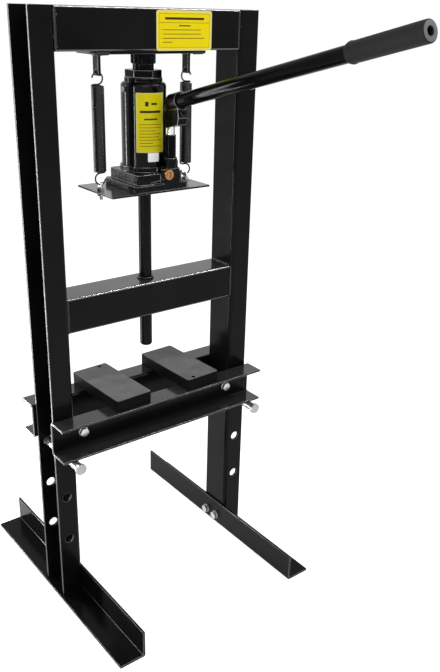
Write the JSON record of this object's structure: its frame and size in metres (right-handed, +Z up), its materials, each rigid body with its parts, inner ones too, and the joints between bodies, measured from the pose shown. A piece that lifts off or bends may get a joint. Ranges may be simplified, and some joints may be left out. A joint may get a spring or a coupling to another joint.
{
  "type": "h-frame shop press",
  "caption": "Floor-standing h-frame press: a bottle jack between the top beam and a sprung plate drives a guided ram onto plates on an adjustable bed.",
  "frame": {"origin": "on the floor, midway between the posts and under the press ram", "axes": "+X to the right, +Y to the back and +Z up; the pump handle points to -Y"},
  "size_m": [0.39, 0.7175, 0.93],
  "materials": {
    "black_paint": "gloss",
    "jack_paint": "gloss",
    "base_casting": "rough painted",
    "dark_steel": "blackened",
    "bare_steel": "ground",
    "bright_steel": "polished",
    "zinc": "zinc plated",
    "spring_steel": "oiled black",
    "plate_steel": "satin",
    "copper": "satin",
    "seal": "matte",
    "dark_plastic": "matte",
    "grip": "matte",
    "label": "gloss",
    "sticker": "gloss"
  },
  "bodies": {
    "frame": {"left_post": "black_paint", "right_post": "black_paint", "left_foot": "black_paint", "right_foot": "black_paint", "foot_bolts": "dark_steel", "foot_washers": "dark_steel", "foot_nuts": "dark_steel", "top_beam": "black_paint", "guide_beam": "black_paint", "guide_bush": "black_paint", "hanger_bar": "black_paint", "hanger_tabs": "black_paint", "frame_welds": "black_paint", "beam_label": "label", "left_spring": "spring_steel", "right_spring": "spring_steel"},
    "screw": {"extension_screw": "jack_paint"},
    "ram": {"jack_ram": "jack_paint", "ram_seal": "seal"},
    "carriage": {"jack_plate": "black_paint", "press_ram": "black_paint", "hook_bolts": "zinc", "hook_bolt_nuts": "zinc", "jack_base": "base_casting", "jack_cylinder": "bare_steel", "oil_tank": "jack_paint", "cap_nut": "jack_paint", "gland_seal": "seal", "tank_label": "label", "tank_sticker": "sticker", "oil_plug": "dark_plastic", "valve_balls": "bare_steel", "pump_barrel": "jack_paint", "link_strap": "jack_paint", "link_pins": "zinc"},
    "handle": {"handle_socket": "jack_paint", "handle_tube": "black_paint", "handle_grip": "grip", "socket_screw": "zinc"},
    "plunger": {"pump_plunger": "bright_steel", "plunger_pin": "zinc", "plunger_seal": "dark_plastic"},
    "valve": {"release_valve": "copper"},
    "bed": {"front_bed_channel": "black_paint", "back_bed_channel": "black_paint", "bed_bolts": "zinc", "bed_washers": "zinc", "bed_nuts": "zinc", "bed_spacers": "black_paint", "left_press_plate": "plate_steel", "right_press_plate": "plate_steel"},
    "left_pin": {"left_support_pin": "zinc"},
    "right_pin": {"right_support_pin": "zinc"}
  },
  "joints": [
    {"name": "screw_turn", "type": "hinge", "parent": "frame", "child": "screw", "pos_m": [0, 0, 0.86], "axis": [0, 0, 1], "range_deg": [0, 3600]},
    {"name": "screw_extend", "type": "slide", "parent": "frame", "child": "ram", "axis": [0, 0, -1], "range_m": [0, 0.03], "deforming": ["left_spring", "right_spring"]},
    {"name": "jack_lift", "type": "slide", "parent": "ram", "child": "carriage", "axis": [0, 0, -1], "range_m": [0, 0.095], "stiffness_N_per_m": 1500, "springref_m": -0.1, "deforming": ["left_spring", "right_spring"]},
    {"name": "pump_handle", "type": "hinge", "parent": "carriage", "child": "handle", "pos_m": [0.018, -0.03374, 0.797], "axis": [-1, 0, 0], "range_deg": [0, 35]},
    {"name": "pump_plunger", "type": "slide", "parent": "carriage", "child": "plunger", "axis": [0, 0, 1], "range_m": [0, 0.0064]},
    {"name": "release_valve", "type": "hinge", "parent": "carriage", "child": "valve", "pos_m": [0.0093, -0.051, 0.7014], "axis": [0, -1, 0], "range_deg": [0, 720]},
    {"name": "bed_lift", "type": "slide", "parent": "frame", "child": "bed", "axis": [0, 0, 1], "range_m": [0, 0.11]},
    {"name": "left_pin_draw", "type": "slide", "parent": "frame", "child": "left_pin", "axis": [0, -1, 0], "range_m": [0, 0.165]},
    {"name": "right_pin_draw", "type": "slide", "parent": "frame", "child": "right_pin", "axis": [0, -1, 0], "range_m": [0, 0.165]}
  ],
  "couplings": [
    {"joint": "screw_turn", "follows": "screw_extend", "rad_per_m": 2094.4},
    {"joint": "pump_plunger", "follows": "pump_handle", "m_per_rad": 0.010338}
  ]
}
